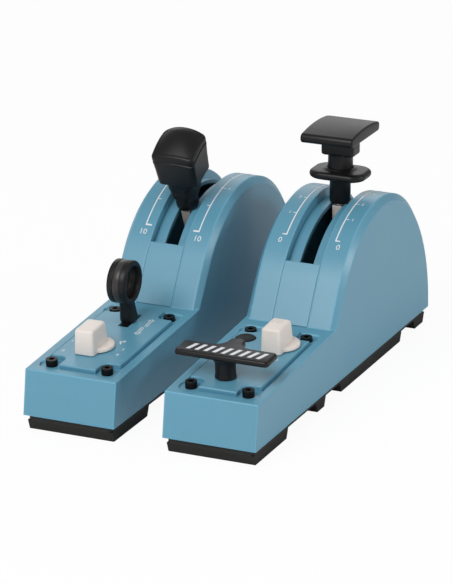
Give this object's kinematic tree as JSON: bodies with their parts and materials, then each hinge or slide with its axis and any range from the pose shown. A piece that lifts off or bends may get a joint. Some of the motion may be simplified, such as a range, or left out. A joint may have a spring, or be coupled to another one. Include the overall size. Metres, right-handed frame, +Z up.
{
  "type": "throttle quadrant",
  "caption": "Desk-top lever set: two blue modules with arched housings, swinging power and flap levers, a ring-shaped gear lever, a T-shaped parking handle, selectors and a button.",
  "frame": {"origin": "middle of the pair's footprint on the surface it stands on", "axes": "+X to the user's right across both modules, +Y from the user to the back, +Z up"},
  "size_m": [0.1416, 0.264, 0.142],
  "materials": {
    "blue_shell": "satin steel blue",
    "blue_strip": "satin steel blue",
    "blue_plate": "satin steel blue with white print",
    "charcoal_base": "matt charcoal",
    "foot_rubber": "matt",
    "grip_black": "satin black",
    "black_plastic": "satin black",
    "knob_ivory": "satin off-white",
    "blade_steel": "brushed",
    "steel": "plain turned",
    "screw_black": "black oxide",
    "bronze": "plain turned",
    "felt": "felt",
    "hub_nylon": "natural",
    "board_green": "solder mask"
  },
  "bodies": {
    "modules": {"left_housing": "blue_shell", "left_strip": "blue_strip", "left_plate": "blue_plate", "left_base": "charcoal_base", "left_feet": "foot_rubber", "left_socket": "black_plastic", "left_screws": "screw_black", "left_axle": "steel", "left_bushes": "bronze", "left_outer_bracket": "steel", "left_sensor_bracket": "steel", "left_bracket_screws": "screw_black", "left_friction_rings": "felt", "left_sensor": "black_plastic", "left_board": "board_green", "right_housing": "blue_shell", "right_strip": "blue_strip", "right_plate": "blue_plate", "right_base": "charcoal_base", "right_feet": "foot_rubber", "right_socket": "black_plastic", "right_screws": "screw_black", "right_axle": "steel", "right_bushes": "bronze", "right_outer_bracket": "steel", "right_sensor_bracket": "steel", "right_bracket_screws": "screw_black", "right_friction_rings": "felt", "right_sensor": "black_plastic", "right_board": "board_green", "gear_fork": "black_plastic", "gear_pin": "steel", "autobrake_encoder": "black_plastic", "trim_encoder": "black_plastic", "park_guide": "black_plastic", "push_button_switch": "black_plastic"},
    "speed_lever": {"speed_hub": "hub_nylon", "speed_blade": "blade_steel", "speed_sector": "hub_nylon", "speed_ferrule": "grip_black", "speed_grip": "grip_black"},
    "speed_sensor_pinion": {"speed_pinion": "hub_nylon"},
    "flap_lever": {"flap_hub": "hub_nylon", "flap_blade": "blade_steel", "flap_sector": "hub_nylon", "flap_grip": "grip_black"},
    "flap_collar": {"flap_collar": "grip_black"},
    "flap_sensor_pinion": {"flap_pinion": "hub_nylon"},
    "gear_lever": {"gear_lever": "grip_black"},
    "park_lift_sleeve": {"park_carrier": "black_plastic"},
    "parking_handle": {"park_handle": "grip_black"},
    "autobrake_selector": {"autobrake_knob": "knob_ivory", "autobrake_spindle": "steel"},
    "trim_selector": {"trim_knob": "knob_ivory", "trim_spindle": "steel"},
    "push_button": {"push_button": "black_plastic"}
  },
  "joints": [
    {"name": "speed_lever_swing", "type": "hinge", "parent": "modules", "child": "speed_lever", "pos_m": [-0.04285, 0.05605, 0.027], "axis": [1, 0, 0], "range_deg": [-61, 15]},
    {"name": "speed_pinion_turn", "type": "hinge", "parent": "modules", "child": "speed_sensor_pinion", "pos_m": [-0.04285, 0.07105, 0.05298], "axis": [1, 0, 0], "range_deg": [-65, 250]},
    {"name": "flap_lever_swing", "type": "hinge", "parent": "modules", "child": "flap_lever", "pos_m": [0.04285, 0.05605, 0.027], "axis": [1, 0, 0], "range_deg": [-38, 38]},
    {"name": "flap_pinion_turn", "type": "hinge", "parent": "modules", "child": "flap_sensor_pinion", "pos_m": [0.04285, 0.07105, 0.05298], "axis": [1, 0, 0], "range_deg": [-156, 156]},
    {"name": "flap_collar_lift", "type": "slide", "parent": "flap_lever", "child": "flap_collar", "axis": [0, 0, 1], "range_m": [0, 0.003], "stiffness_N_per_m": 150, "springref_m": -0.003},
    {"name": "gear_lever_swing", "type": "hinge", "parent": "modules", "child": "gear_lever", "pos_m": [-0.04385, -0.04765, 0.03259], "axis": [1, 0, 0], "range_deg": [-27, 0]},
    {"name": "park_lift", "type": "slide", "parent": "modules", "child": "park_lift_sleeve", "axis": [0, -0.0638, 0.998], "range_m": [0, 0.005], "stiffness_N_per_m": 150, "springref_m": -0.004},
    {"name": "park_turn", "type": "hinge", "parent": "park_lift_sleeve", "child": "parking_handle", "pos_m": [0.04065, -0.10281, 0.03706], "axis": [0, -0.0638, 0.998], "range_deg": [-90, 0]},
    {"name": "autobrake_selector_turn", "type": "hinge", "parent": "modules", "child": "autobrake_selector", "pos_m": [-0.04615, -0.09123, 0.0378], "axis": [0, -0.0638, 0.998], "range_deg": [-60, 60]},
    {"name": "trim_selector_turn", "type": "hinge", "parent": "modules", "child": "trim_selector", "pos_m": [0.05145, -0.05331, 0.04023], "axis": [0, -0.0638, 0.998], "range_deg": [-30, 30], "stiffness_Nm_per_rad": 0.02},
    {"name": "push_button_press", "type": "slide", "parent": "modules", "child": "push_button", "axis": [0, 0.0638, -0.998], "range_m": [0, 0.0015], "stiffness_N_per_m": 300, "springref_m": -0.002}
  ],
  "couplings": [
    {"joint": "speed_pinion_turn", "follows": "speed_lever_swing", "ratio": -4},
    {"joint": "flap_pinion_turn", "follows": "flap_lever_swing", "ratio": -4}
  ]
}
